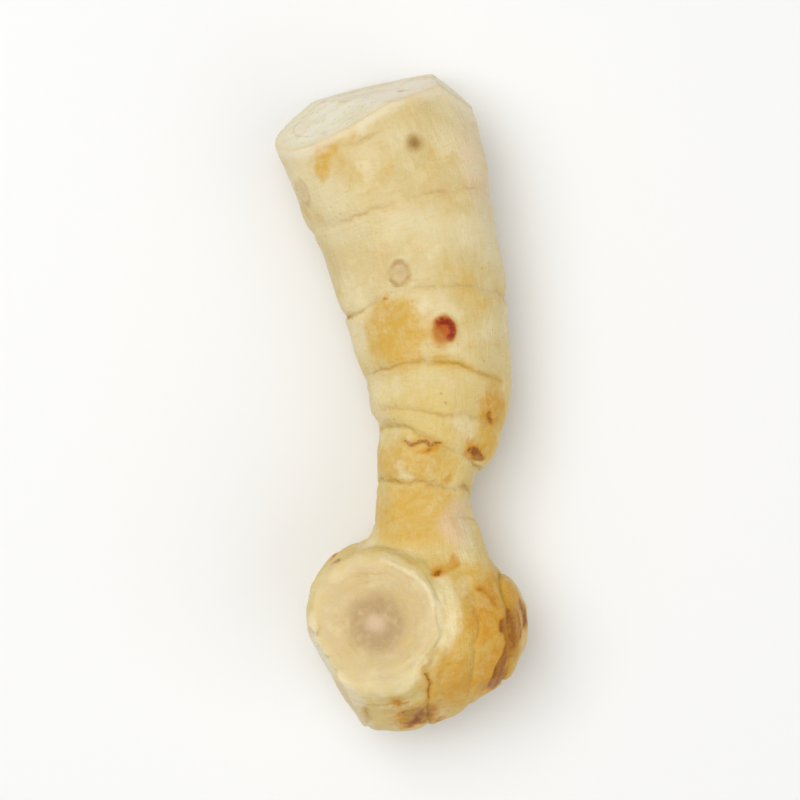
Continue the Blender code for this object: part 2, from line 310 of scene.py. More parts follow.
# Ragged lines on the upper side: half width, then the points that each runs through.
MARKS = {
    "mark_brown": (
        (0.24, ((0.2, -5.9), (1.2, -6.5), (2.5, -6.0), (3.6, -5.8), (4.1, -6.6), (5.6, -6.3))),
        (0.55, ((15.8, -31.6), (16.2, -34.0), (16.5, -36.7))),
        (0.32, ((15.5, -38.4), (14.5, -40.8), (13.4, -43.2))),
        (0.16, ((3.4, -40.6), (4.25, -41.8), (3.7, -44.2))),
    ),
    "mark_ochre": (
        (0.26, ((5.6, 5.95), (8.3, 5.4), (11.7, 4.2), (14.4, 3.1))),
        (0.30, ((5.3, -36.7), (3.2, -39.8), (4.25, -41.8), (3.6, -44.5), (0.2, -47.9))),
        (0.40, ((14.0, -27.0), (16.2, -31.0), (17.0, -38.0), (14.6, -43.0), (11.0, -46.4))),
    ),
    # The pale line is the raised arc on the stem scar's rim: a real pale ridge, painted whitish partly as
    # a highlight.
    "mark_pale_and_highlight": (
        (0.36, ((-3.2, -23.7), (-1.0, -24.2), (1.4, -25.6), (3.3, -27.9), (4.2, -30.0))),
    ),
}
# A mark shows within so many of its half widths, and is moved about less than a blot.
MARK_REACH, MARK_WARP = 6.0, 0.35
# A blot fades between these shares of its size, and where the skin faces down.
BLOT_EDGE, UPPER_SIDE = (0.5, 1.45), (-0.35, 0.25)

# In metres: the floor lies this little below the root's flats and reaches this far, and
# the camera sees this width at the height of the root's middle.
FLOOR_HEIGHT, FLOOR_REACH = -0.00002, 3.0
SEEN_WIDTH, MIDDLE_HEIGHT = 0.122, 0.014
LENS = 120.0
WORLD_STRENGTH = 0.44

# Sizes of the fine mesh.
COLUMNS = 128
ROW_STEP = 0.8
VOXEL = 0.36
LATTICE = 32
# The skin's fine grain is stretched this much less along a limb than round it.
GRAIN_SHARE = 0.16
# Wrinkles are the same grain, drawn out round the limb instead.
WRINKLE_STRETCH = (0.22, 0.22, 1 / GRAIN_SHARE)
# No leaf scar colours the skin farther off than this.
RING_REACH = 2.3
# Values of a point that no leaf scar, root scar or stem scar is near.
FAR_FROM_RING, FAR_FROM_SCAR, OFF_THE_STEM = 9.0, 3.0, 30.0
# Each limb's share in the skin falls off over this distance.
SHARE_FALL = 0.7
# The join of two limbs is evened out over this width, in so many rounds, and the stem
# scar's merging rim in so many.
JOIN_WIDTH, JOIN_ROUNDS, MERGE_ROUNDS = 1.5, 24, 90
# A cut's face is this deep at most, and the skin is pale this far from it.
CUT_SKIN = (0.10, 0.30)
PALE_BY_CUT = (0.3, 3.0)
# The skin turns yellower between these places, from the finger to the thick joint.
YELLOW_FROM, YELLOW_TO = 28.0, -8.0


def smooth(table, at):
    """Columns of a table at other values of its first one, without corners."""
    table = np.array(sorted(table), float)
    at = np.clip(np.atleast_1d(np.asarray(at, float)), table[0, 0], table[-1, 0])
    knots, values = table[:, 0], table[:, 1:]
    slopes = np.gradient(values, knots, axis=0)
    low = np.clip(np.searchsorted(knots, at, side="right") - 1, 0, len(knots) - 2)
    span = (knots[low + 1] - knots[low])[:, None]
    t = (at - knots[low])[:, None] / span
    start = (1 + 2 * t) * (1 - t) ** 2 * values[low] + t * (1 - t) ** 2 * span * slopes[low]
    end = t**2 * (3 - 2 * t) * values[low + 1] + t**2 * (t - 1) * span * slopes[low + 1]
    return (start + end).T


def unit(vectors):
    vectors = np.asarray(vectors, float)
    return vectors / np.linalg.norm(vectors, axis=-1, keepdims=True)


def step(low, high, values):
    """0 below low, 1 above high, and an even rise between them."""
    t = np.clip((np.asarray(values, float) - low) / (high - low), 0.0, 1.0)
    return t * t * (3 - 2 * t)


def between(limits, values):
    """0, then a rise to 1 and a fall back to 0, over four limits."""
    return step(*limits[:2], values) * (1 - step(*limits[2:], values))


def bell(distance, width):
    return np.exp(-((distance / width) ** 2))


def bumps(table, distances):
    """The sum of a table's round bumps. Columns: height, distance, half width."""
    return sum(height * bell(distances - middle, width) for height, middle, width in table)


class Noise:
    """Smooth random values in space, from -1 to 1, the same on every run."""

    def __init__(self, seed):
        self.values = np.random.default_rng(seed).uniform(-1.0, 1.0, (LATTICE,) * 3)

    def __call__(self, points, size):
        at = points / np.asarray(size, float)
        low = np.floor(at).astype(int)
        t = at - low
        t = t * t * (3 - 2 * t)
        total = np.zeros(len(points))
        for corner in itertools.product((0, 1), repeat=3):
            weight = np.prod(np.where(corner, t, 1 - t), axis=1)
            x, y, z = ((low + corner) % LATTICE).T
            total += weight * self.values[x, y, z]
        return total


SWELL = Noise(11)
RAGGED = Noise(23)
FADE = Noise(37)
WARP_X = Noise(41)
WARP_Y = Noise(43)

# Fine relief. Columns: height, noise, size of its lumps.
SKIN_RELIEF = ((0.20, SWELL, 8.0), (0.12, SWELL, 4.0), (0.06, RAGGED, 1.7))
RAGGED_LINES = ((0.45, RAGGED, 2.4), (0.22, RAGGED, 1.0))
RIM_SWAY = ((0.55, RAGGED, 3.4), (0.30, FADE, 1.5))
RIM_RELIEF, NICK_RELIEF = ((0.20, FADE, 3.2),), ((1.0, FADE, 1.9),)
DISC_RELIEF, BUNDLE_RELIEF = ((0.22, SWELL, 3.0), (0.05, RAGGED, 0.85)), ((0.10, RAGGED, 0.85),)
CUT_RELIEF, FIBRE_RELIEF = ((0.05, SWELL, 3.0),), ((0.05, RAGGED, 0.9),)
# How far drawn shapes are moved about. Columns: distance, size of the lumps.
WARPS = ((0.9, 3.0), (0.45, 1.1))


def lumps(table, points):
    """The sum of a table's noises at these points."""
    return sum(height * noise(points, size) for height, noise, size in table)


def waves(table, turns, places=0.0):
    """The sum of a table's waves at these turns and places."""
    total = 0.0
    for height, lobes, drift, start in table:
        total = total + height * np.cos(lobes * turns + drift * places + start)
    return total


class Limb:
    """A limb of the root, made along its own Y and set in place by a frame."""

    def __init__(self, sections, rings, start, end, origin=(0, 0, 0), along=(0, 1, 0), up=(0, 0, 1)):
        self.sections, self.rings, self.start, self.end = sections, rings, start, end
        self.forward = math.copysign(1.0, end - start)
        self.origin = np.asarray(origin, float)
        along = unit(along)
        side = unit(np.cross(along, up))
        self.axes = np.array((side, along, np.cross(side, along)))

    def placed(self, points):
        return self.origin + points @ self.axes

    def section(self, places):
        """Middle, directions and half sizes of the sections at these places."""
        x, z, half_width, half_depth = smooth(self.sections, places)
        ahead = smooth(self.sections, places + SLOPE_REACH)
        behind = smooth(self.sections, places - SLOPE_REACH)
        level = np.full_like(x, 2 * SLOPE_REACH)
        along = unit(np.stack((ahead[0] - behind[0], level, ahead[1] - behind[1]), axis=-1))
        side = unit(np.cross(along, (0.0, 0.0, 1.0)))
        middle = np.stack((x, places, z), axis=-1)
        return middle, along, side, np.cross(side, along), half_width, half_depth

    def skin(self, places, degrees):
        """Points on the skin, and the ways that it faces there."""
        turns = np.radians(degrees)
        places = np.broadcast_to(np.asarray(places, float), turns.shape)
        middle, _, side, up, half_width, half_depth = self.section(places)
        swell = waves(UNEVENNESS, turns, places)
        across = ((half_width + swell) * np.cos(turns))[:, None] * side
        over = ((half_depth + swell) * np.sin(turns))[:, None] * up
        outward = (np.cos(turns) / half_width)[:, None] * side
        outward = outward + (np.sin(turns) / half_depth)[:, None] * up
        return self.placed(middle + across + over), unit(outward) @ self.axes

    def coordinates(self, points):
        """Place along the limb, turn round it and height over its skin, of any points."""
        local = (points - self.origin) @ self.axes.T
        places = local[:, 1].copy()
        for _ in range(4):
            middle, along, side, up, half_width, half_depth = self.section(places)
            offset = local - middle
            places = places + np.sum(offset * along, axis=1)
        across, over = np.sum(offset * side, axis=1), np.sum(offset * up, axis=1)
        turns = np.arctan2(over / half_depth, across / half_width)
        swell = waves(UNEVENNESS, turns, places)
        reach = np.hypot((half_width + swell) * np.cos(turns), (half_depth + swell) * np.sin(turns))
        return places, turns, np.hypot(across, over) - reach

    def line(self, place, turns):
        """Where a line that runs like the leaf scars lies, at these turns."""
        arch = smooth(self.rings, place)[0]
        arched = arch * np.sin(turns - math.radians(ARCH_LEAN))
        return place + arched + waves(RING_WAVER, turns, place)

    def ring_distances(self, places, turns, ragged):
        """How far each point is past each leaf scar, towards the limb's end."""
        marks = [self.start, *(ring[0] for ring in self.rings), self.end]
        return np.array([(places + ragged - self.line(mark, turns)) * self.forward for mark in marks])

    def relief(self, places, turns, points):
        """Height of the rings and internodes, distance to the nearest ring, its strength."""
        distances = self.ring_distances(places, turns, lumps(RAGGED_LINES, points))
        past = np.clip((distances >= 0).sum(axis=0) - 1, 0, len(distances) - 2)
        index = np.arange(len(places))
        before, after = distances[past, index], distances[past + 1, index]
        share = np.clip(before / np.maximum(before - after, 1e-6), 0, 1)
        strengths = np.array([END_STRENGTH, *(ring[2] for ring in self.rings), END_STRENGTH])
        strength = strengths[past] * (1 - share) + strengths[past + 1] * share
        strength = strength * (RING_MEAN + waves(RING_FADE, turns, places))
        near = np.where(before < -after, before, after)
        own = np.where(before < -after, strengths[past], strengths[past + 1])
        mean, swing, size, least, most = RING_PATCHES
        own = own * np.clip(mean + swing * FADE(points, size), least, most)
        height = strength * smooth(INTERNODE, share)[0] + own * bumps(RING_PROFILE, near)
        return height, near, own * (1 - step(RING_REACH - 0.8, RING_REACH, np.abs(near)))


FINGER = Limb(FINGER_SECTIONS, FINGER_RINGS, start=56.5, end=-22.5)
BARREL = Limb(BARREL_SECTIONS, BARREL_RINGS, start=-12.0, end=17.8, along=(1, 0, 0))
STUB = Limb(
    STUB_SECTIONS,
    STUB_RINGS,
    start=-17.0,
    end=-0.9,
    origin=(-4.2, -32.7, 25.6),
    along=(-0.13, 0.19, 0.97),
    up=(0, 1, 0),
)
LIMBS = {"finger": FINGER, "barrel": BARREL, "stub": STUB}


def stem_scar_height(radius, turns):
    """Height of the stem scar over the stub's origin."""
    height, share = smooth(STEM_SCAR, radius / (1 + waves(RIM_OUTLINE, turns)))
    return height + share * waves(RIM_LEAN, turns)


def stem_scar_rows(degrees):
    """Rows from the stub's edge to the middle of its stem scar."""
    turns = np.radians(degrees)
    spokes = np.stack((np.cos(turns), np.zeros_like(turns), np.sin(turns)), axis=-1)
    rows = []
    for share in np.arange(STEM_SCAR_EDGE, 0.4, -ROW_STEP / 2):
        radius = share * (1 + waves(RIM_OUTLINE, turns))
        rim = spokes * radius[:, None]
        rim[:, 1] = stem_scar_height(radius, turns)
        rows.append(STUB.placed(rim))
    return rows


def limb_rows(limb):
    """Rows of plain skin along a limb, from one end of its table to the other."""
    degrees = np.arange(COLUMNS) * 360.0 / COLUMNS
    ends = sorted(section[0] for section in limb.sections)
    places = np.linspace(ends[0], ends[-1], int((ends[-1] - ends[0]) / ROW_STEP))
    rows = [limb.skin(place, degrees)[0] for place in places]
    return rows + stem_scar_rows(degrees) if limb is STUB else rows


def trim(mesh, point, facing):
    """Cuts away what lies beyond a plane, and closes the cut."""
    geometry = mesh.verts[:] + mesh.edges[:] + mesh.faces[:]
    cut = bmesh.ops.bisect_plane(
        mesh, geom=geometry, plane_co=point, plane_no=facing, clear_outer=True, dist=1e-5
    )
    edges = [e for e in cut["geom_cut"] if isinstance(e, bmesh.types.BMEdge)]
    if edges:
        bmesh.ops.edgenet_fill(mesh, edges=edges)


def closed_limb(rows):
    """A closed mesh over rows of points in millimetres, with the knife cuts made."""
    mesh = bmesh.new()
    grid = [[mesh.verts.new(point) for point in row] for row in rows]
    for upper, lower in zip(grid, grid[1:]):
        for i, start in enumerate(upper):
            j = (i + 1) % len(upper)
            mesh.faces.new((start, upper[j], lower[j], lower[i]))
    for row in (grid[0], grid[-1]):
        mesh.faces.new(row)
    for point, facing in (*CUTS, ((0, 0, REST_HEIGHT), (0, 0, -1))):
        trim(mesh, point, facing)
    bmesh.ops.triangulate(mesh, faces=[f for f in mesh.faces if len(f.verts) > 4])
    bmesh.ops.recalc_face_normals(mesh, faces=mesh.faces)
    return mesh


def even_skin():
    """The three limbs as one even mesh. Returns its points in millimetres, and faces."""
    whole = bmesh.new()
    for limb in LIMBS.values():
        part = closed_limb(limb_rows(limb))
        data = bpy.data.meshes.new("limb")
        part.to_mesh(data)
        part.free()
        whole.from_mesh(data)
        bpy.data.meshes.remove(data)
    data = bpy.data.meshes.new("limbs")
    whole.to_mesh(data)
    whole.free()
    made = bpy.data.objects.new("limbs", data)
    bpy.context.scene.collection.objects.link(made)
    remesh = made.modifiers.new("even", "REMESH")
    remesh.mode = "VOXEL"
    remesh.voxel_size = VOXEL
    remesh.use_smooth_shade = True
    bpy.context.view_layer.update()
    even = bpy.data.meshes.new_from_object(made.evaluated_get(bpy.context.evaluated_depsgraph_get()))
    bpy.data.objects.remove(made)
    points = np.empty(len(even.vertices) * 3)
    even.vertices.foreach_get("co", points)
    return points.reshape(-1, 3), even


def vertex_normals(mesh, points):
    """Ways that the skin faces at its points."""
    mesh.vertices.foreach_set("co", points.ravel())
    mesh.update()
    normals = np.empty(len(points) * 3, np.float32)
    mesh.vertex_normals.foreach_get("vector", normals)
    return normals.reshape(-1, 3).astype(float)


class Neighbours:
    """The edges of a mesh, to even out values and places among near points."""

    def __init__(self, mesh):
        ends = np.empty(len(mesh.edges) * 2, int)
        mesh.edges.foreach_get("vertices", ends)
        self.a, self.b = ends.reshape(-1, 2).T
        self.count = len(mesh.vertices)
        self.number = np.bincount(np.r_[self.a, self.b], minlength=self.count)

    def mean(self, values):
        total = np.bincount(self.a, values[self.b], self.count)
        return (total + np.bincount(self.b, values[self.a], self.count)) / self.number

    def relax(self, points, weight, rounds):
        for _ in range(rounds):
            around = np.stack([self.mean(axis) for axis in points.T], axis=-1)
            points = points + weight[:, None] * (around - points)
        return points


def cut_depth(points):
    """How far each point lies inside the nearest knife cut."""
    depths = [-(points - np.array(point)) @ unit(facing) for point, facing in CUTS]
    return np.min(depths, axis=0)


def end_face_lead(points):
    """How much nearer each point is to the other cuts than to the end face."""
    depths = [-(points - np.array(point)) @ unit(facing) for point, facing in CUTS]
    return depths[0] - np.min(depths[1:], axis=0)


def root_scar_fields(points, normals):
    """Height of the root scars, distance from the nearest in its radii, and its looks, with the red pits
    painted one-sided as light and shade.
    """
    height = np.zeros(len(points))
    nearest = np.full(len(points), FAR_FROM_SCAR)
    looks = np.zeros((3, len(points)))
    wobble = 1 + 0.12 * RAGGED(points, 1.3)
    painted_light_side = np.array((0.8, 0.6, 0.0))
    for name, rows in ROOT_SCARS.items():
        for place, angle, radius, stretch, *own in rows:
            centre, outward = (found[0] for found in LIMBS[name].skin(place, np.array([angle])))
            along = LIMBS[name].axes[1]
            along = unit(along - outward * (along @ outward))
            offset = points - centre
            ahead = offset @ along / stretch
            beside = offset @ np.cross(along, outward)
            share = np.sqrt(ahead**2 + beside**2 + (offset @ outward) ** 2) / radius * wobble
            share = np.where(normals @ outward > 0.2, share, FAR_FROM_SCAR)
            depth = max(own[1], own[2])
            height += depth * bumps(ROOT_SCAR_PROFILE, share) + bumps(ROOT_SCAR_DIMPLE, share)
            shown = np.repeat(np.array(own, float)[:, None], len(points), axis=1)
            # Painted light and shade: a red pit's colour shows in full on its side towards
            # painted_light_side and fades to about a third on the far side.
            shown[2] *= 0.35 + 0.65 * step(-0.5, 0.5, offset @ painted_light_side / radius)
            looks = np.where(share < nearest, shown, looks)
            nearest = np.minimum(nearest, share)
    return height, nearest, looks


def warped(points):
    """Places on the upper side, moved about a little so that drawn shapes come out ragged."""
    moves = [lumps([(far, noise, size) for far, size in WARPS], points) for noise in (WARP_X, WARP_Y)]
    return points[:, :2] + np.stack(moves, axis=-1)


def blot_field(points, normals, kind):
    """Strength of one kind of blot at each point of the upper side."""
    places = warped(points)
    field = np.zeros(len(points))
    for x, y, long, wide, turn, strength in BLOTS[kind]:
        c, s = math.cos(math.radians(turn)), math.sin(math.radians(turn))
        off_x, off_y = places[:, 0] - x, places[:, 1] - y
        reach = np.hypot((off_x * c + off_y * s) / long, (off_y * c - off_x * s) / wide)
        field = np.maximum(field, strength * (1 - step(*BLOT_EDGE, reach)))
    return field * step(*UPPER_SIDE, normals[:, 2])


def mark_field(points, normals, kind):
    """Distance of each point of the upper side from one kind of line, in half widths."""
    places = points[:, :2] + MARK_WARP * (warped(points) - points[:, :2])
    nearest = np.full(len(points), MARK_REACH)
    for width, corners in MARKS[kind]:
        corners = np.array(corners)
        for a, b in zip(corners, corners[1:]):
            share = np.clip((places - a) @ (b - a) / ((b - a) @ (b - a)), 0, 1)
            gap = np.linalg.norm(places - a - share[:, None] * (b - a), axis=1)
            nearest = np.minimum(nearest, gap / width)
    return np.where(normals[:, 2] > 0, nearest, MARK_REACH)


def add_values(mesh, name, values):
    """Stores a number for each point, for the material to read."""
    layer = mesh.attributes.new(name, "FLOAT", "POINT")
    layer.data.foreach_set("value", np.asarray(values, np.float32))


class StubView:
    """Points as the stub sees them: height along it, and radius and turn round it."""

    def __init__(self, points):
        local = (points - STUB.origin) @ STUB.axes.T
        self.height = local[:, 1].copy()
        self.radius = np.hypot(local[:, 0], local[:, 2])
        self.turns = np.arctan2(local[:, 2], local[:, 0])

    def outward(self):
        """Ways that lead straight away from the stub's middle line."""
        turns = self.turns[:, None]
        return np.cos(turns) * STUB.axes[0] + np.sin(turns) * STUB.axes[2]

    def near_rim(self, width):
        return bell(self.radius - RIM_RADIUS, width) * step(*RIM_HEIGHTS, self.height)

    def pushed(self, points, push, middle, width):
        """Points pushed towards one side, those round it by less."""
        way = math.cos(middle) * STUB.axes[0] + math.sin(middle) * STUB.axes[2]
        return points + (push * bell(self.turns - middle, width))[:, None] * way


def shape_stub(points, stub):
    """Sinks the stem scar's dish, and swells the stub on two sides."""
    dish = step(*DISH_HEIGHTS, stub.height) * (1 - step(*DISH_RADII, stub.radius))
    fall = dish * (stem_scar_height(stub.radius, stub.turns) - stub.height)
    points = points + fall[:, None] * STUB.axes[1]
    stub.height += fall
    push, middle, width = STUB_BULGE
    push = push * step(*BULGE_HEIGHTS, stub.height) * between(BULGE_RADII, stub.radius)
    points = stub.pushed(points, push, middle, width)
    push, middle, width, below, half = STUB_SHOULDER
    push = push * bell(stub.height + below, half) * between(SHOULDER_RADII, stub.radius)
    return stub.pushed(points, push, middle, width)


def merge_rim(points, stub, links, share):
    """Fills the groove beside the stem scar's right and lower rim, and evens it out."""
    share = share * step(*MERGE_TURNS, np.cos(stub.turns - RIM_MERGES))
    filled = share * bumps((GROOVE_FILL,), stub.radius) * step(*GROOVE_HEIGHTS, stub.height)
    points = points + filled[:, None] * STUB.axes[1]
    share = share * bumps((EVEN_BAND,), stub.radius) * step(*EVEN_HEIGHTS, stub.height)
    return links.relax(points, 0.5 * share, MERGE_ROUNDS)


def limbs_relief(points, found, shares):
    """Height of the rings and internodes, distance to the nearest ring, its strength."""
    height, strength = np.zeros((2, len(points)))
    nearest = np.full(len(points), FAR_FROM_RING)
    for limb, (places, turns, _), share in zip(LIMBS.values(), found, shares):
        rise, near, own = limb.relief(places, turns, points)
        height += share * rise
        closer = share > 0.5
        nearest = np.where(closer, near, nearest)
        shown = np.clip(1.3 * (own - 0.30), 0, 1) * step(0.5, 0.8, share)
        strength = np.where(closer, shown, strength)
    return height, nearest, strength


def stem_scar_relief(points, stub, on_scar, pale_mark):
    """Height of the stem scar's bundles, its pale ridge and its nicked rim."""
    bundles = 1 - step(*BUNDLE_RADII, stub.radius)
    height = lumps(DISC_RELIEF, points) + bundles * lumps(BUNDLE_RELIEF, points)
    height = on_scar * (height + bumps((SCAR_RIDGE,), pale_mark))
    rim = bumps((CREST,), stub.radius) * step(*CREST_HEIGHTS, stub.height)
    rise = RIM_RISE * np.cos(stub.turns - RIM_HIGH) + lumps(RIM_RELIEF, points) - RIM_SINK
    count, swing, start = NICKS
    nicks = lumps(NICK_RELIEF, points) + swing * np.cos(count * stub.turns + 1.0) - start
    return height + rim * (rise - RIM_NICK * np.clip(nicks, 0, 1))


def cut_relief(points):
    """Height of the lumps and drawn fibres on a knife cut."""
    fibres = (points @ KNIFE_PULL)[:, None]
    return lumps(CUT_RELIEF, points) + lumps(FIBRE_RELIEF, points + fibres)


def depth_inside(points, heights):
    """How deep each point of a cut lies under the skin that the cut went through."""
    in_barrel = points[:, 1] < BARREL_CUT_BELOW
    return -np.where(in_barrel, heights[1:].min(axis=0), heights.min(axis=0))


def add_grain(mesh, found, shares):
    """Stores places for the skin's grain, which runs along each limb."""
    places, turns, _ = (np.choose(np.argmax(shares, axis=0), of) for of in zip(*found))
    around = np.stack((10 * np.cos(turns), 10 * np.sin(turns), GRAIN_SHARE * places), axis=-1)
    layer = mesh.attributes.new("grain", "FLOAT_VECTOR", "POINT")
    layer.data.foreach_set("vector", (around * MM).astype(np.float32).ravel())


def rhizome():
    """The whole root as one fine piece."""
    points, mesh = even_skin()
    links = Neighbours(mesh)
    points = links.relax(points, np.full(len(points), 0.5), 2)
    found = [limb.coordinates(points) for limb in LIMBS.values()]
    heights = np.array([height for _, _, height in found])
    stub = StubView(points)
    points = shape_stub(points, stub)
    on_scar = step(*SCAR_HEIGHTS, stub.height) * (1 - step(*SCAR_RADII, stub.radius))
    depth = cut_depth(points)
    on_cut = 1 - step(*CUT_SKIN, depth)
    skin = (1 - on_scar) * (1 - on_cut)
    second = np.sort(np.abs(heights), axis=0)[1]
    crease = bell(second, JOIN_WIDTH) * (1 - on_scar)
    rim = stub.near_rim(1.4) * (0.7 + 0.3 * FADE(points, 4.0))
    points = links.relax(points, 0.5 * np.maximum(crease, rim) * (1 - on_cut), JOIN_ROUNDS)
    points = merge_rim(points, stub, links, 1 - on_cut)
    normals = vertex_normals(mesh, points)

    shares = np.exp(-np.abs(heights) / SHARE_FALL)
    shares /= shares.sum(axis=0)
    height, ring_near, ring_strength = limbs_relief(points, found, shares)
    scar_height, scar, looks = root_scar_fields(points, normals)
    marks = {kind: mark_field(points, normals, kind) for kind in MARKS}
    height += lumps(SKIN_RELIEF, points) + scar_height
    height += bumps((SKIN_RIDGE,), marks["mark_pale_and_highlight"]) + bumps((SKIN_CRACK,), marks["mark_brown"])
    height = height * skin + stem_scar_relief(points, stub, on_scar, marks["mark_pale_and_highlight"])
    sway = lumps(RIM_SWAY, points) * stub.near_rim(1.5)
    points = points + sway[:, None] * stub.outward()
    height += on_cut * cut_relief(points)
    points = points + normals * height[:, None]
    points[:, 2] = np.maximum(points[:, 2], REST_HEIGHT)
    normals = vertex_normals(mesh, points)

    ranked = np.sort(shares, axis=0)
    clear = step(0.15, 0.50, ranked[-1] - ranked[-2])
    values = {
        "ring": np.where(skin > 0.3, ring_near, FAR_FROM_RING),
        "ring_strength": ring_strength * skin,
        "scar": np.where(skin > 0.3, scar, FAR_FROM_SCAR),
        **dict(zip(("scar_spot", "scar_ring", "scar_red"), looks)),
        **marks,
        "grain_share": clear * skin,
        "inside": depth_inside(points, heights),
        "beside_cut": 1 - step(*PALE_BY_CUT, depth),
        "stem": np.where(stub.height > STEM_COLOUR_FROM, stub.radius, OFF_THE_STEM),
        "cut": on_cut,
        "cut_side": step(-0.3, 0.3, end_face_lead(points)),
        "lower": step(YELLOW_FROM, YELLOW_TO, points[:, 1]),
        **{kind: blot_field(points, normals, kind) for kind in BLOTS},
    }
    for name, numbers in values.items():
        add_values(mesh, name, numbers)
    add_grain(mesh, found, shares)
    mesh.vertices.foreach_set("co", ((points + SET_DOWN) * MM).ravel())
    mesh.update()
    mesh.shade_smooth()
    mesh.name = "galangal_skin_fine"
    made = bpy.data.objects.new("galangal_skin_fine", mesh)
    bpy.context.scene.collection.objects.link(made)
    return made


class Nodes:
    """A short way to write a material's nodes."""

    def __init__(self, name):
        self.material = bpy.data.materials.new(name)
        self.material.use_nodes = True
        self.tree = self.material.node_tree
        self.shader = self.tree.nodes["Principled BSDF"]

    def add(self, kind, inputs=(), **settings):
        node = self.tree.nodes.new(kind)
        for name, value in settings.items():
            setattr(node, name, value)
        for name, value in dict(inputs).items():
            self.set(node.inputs[name], value)
        return node

    def set(self, socket, value):
        if isinstance(value, bpy.types.NodeSocket):
            self.tree.links.new(value, socket)
        else:
            socket.default_value = value

    def value(self, name):
        return self.add("ShaderNodeAttribute", attribute_name=name).outputs["Fac"]

    def math(self, operation, *values):
        return self.add("ShaderNodeMath", dict(enumerate(values)), operation=operation).outputs[0]

    def ramp(self, value, low, high):
        """0 below low, 1 above high."""
        limits = {"Value": value, "From Min": low, "From Max": high}
        return self.add("ShaderNodeMapRange", limits, interpolation_type="SMOOTHSTEP").outputs[0]

    def fall(self, value, low, high):
        """1 below low, 0 above high."""
        return self.math("SUBTRACT", 1.0, self.ramp(value, low, high))

    def sum(self, *values):
        total = values[0]
        for value in values[1:]:
            total = self.math("ADD", total, value)
        return total

    def off(self, value, middle):
        """How far a value is from the middle."""
        return self.math("ABSOLUTE", self.math("SUBTRACT", value, middle))

    def times(self, *values):
        product = values[0]
        for value in values[1:]:
            product = self.math("MULTIPLY", product, value)
        return product

    def noise(self, vector, size, detail=2.0, roughness=0.5):
        """Noise whose lumps are about this many millimetres across."""
        inputs = {"Vector": vector, "Scale": 1 / (size * MM), "Detail": detail, "Roughness": roughness}
        return self.add("ShaderNodeTexNoise", inputs).outputs["Fac"]

    def mix(self, amount, under, over):
        node = self.add("ShaderNodeMix", data_type="RGBA")
        for socket, value in zip((node.inputs[0], node.inputs[6], node.inputs[7]), (amount, under, over)):
            self.set(socket, value)
        return node.outputs[2]


def colour(red, green, blue):
    return (red, green, blue, 1.0)


SKIN_CREAM = colour(0.740, 0.630, 0.370)
SKIN_BUFF = colour(0.670, 0.530, 0.250)
SKIN_YELLOW = colour(0.700, 0.520, 0.165)
OCHRE = colour(0.660, 0.400, 0.064)
ORANGE = colour(0.610, 0.275, 0.014)
BROWN = colour(0.270, 0.068, 0.001)
PALE = colour(0.830, 0.720, 0.430)
# Whitish of the stem scar's pale ridge, partly a painted highlight.
PALE_AND_HIGHLIGHT_WHITE = colour(0.920, 0.840, 0.600)
PINK = colour(0.760, 0.560, 0.400)
RING_OCHRE = colour(0.520, 0.290, 0.025)
RING_BROWN = colour(0.300, 0.095, 0.008)
SPOT_TAN = colour(0.420, 0.240, 0.050)
SPOT_BROWN = colour(0.250, 0.130, 0.030)
SCAR_RED = colour(0.280, 0.018, 0.000)
SCAR_RUST = colour(0.460, 0.090, 0.001)
SCAR_BLUSH = colour(0.600, 0.400, 0.200)
STEM_CREAM = colour(0.650, 0.495, 0.260)
STEM_LIP = colour(0.810, 0.690, 0.390)
STEM_GREY = colour(0.430, 0.270, 0.125)
STEM_HEART = colour(0.720, 0.540, 0.350)
CUT_WHITE = colour(0.850, 0.790, 0.610)
CUT_PINK = colour(0.850, 0.760, 0.600)
CUT_GREEN = colour(0.740, 0.640, 0.380)


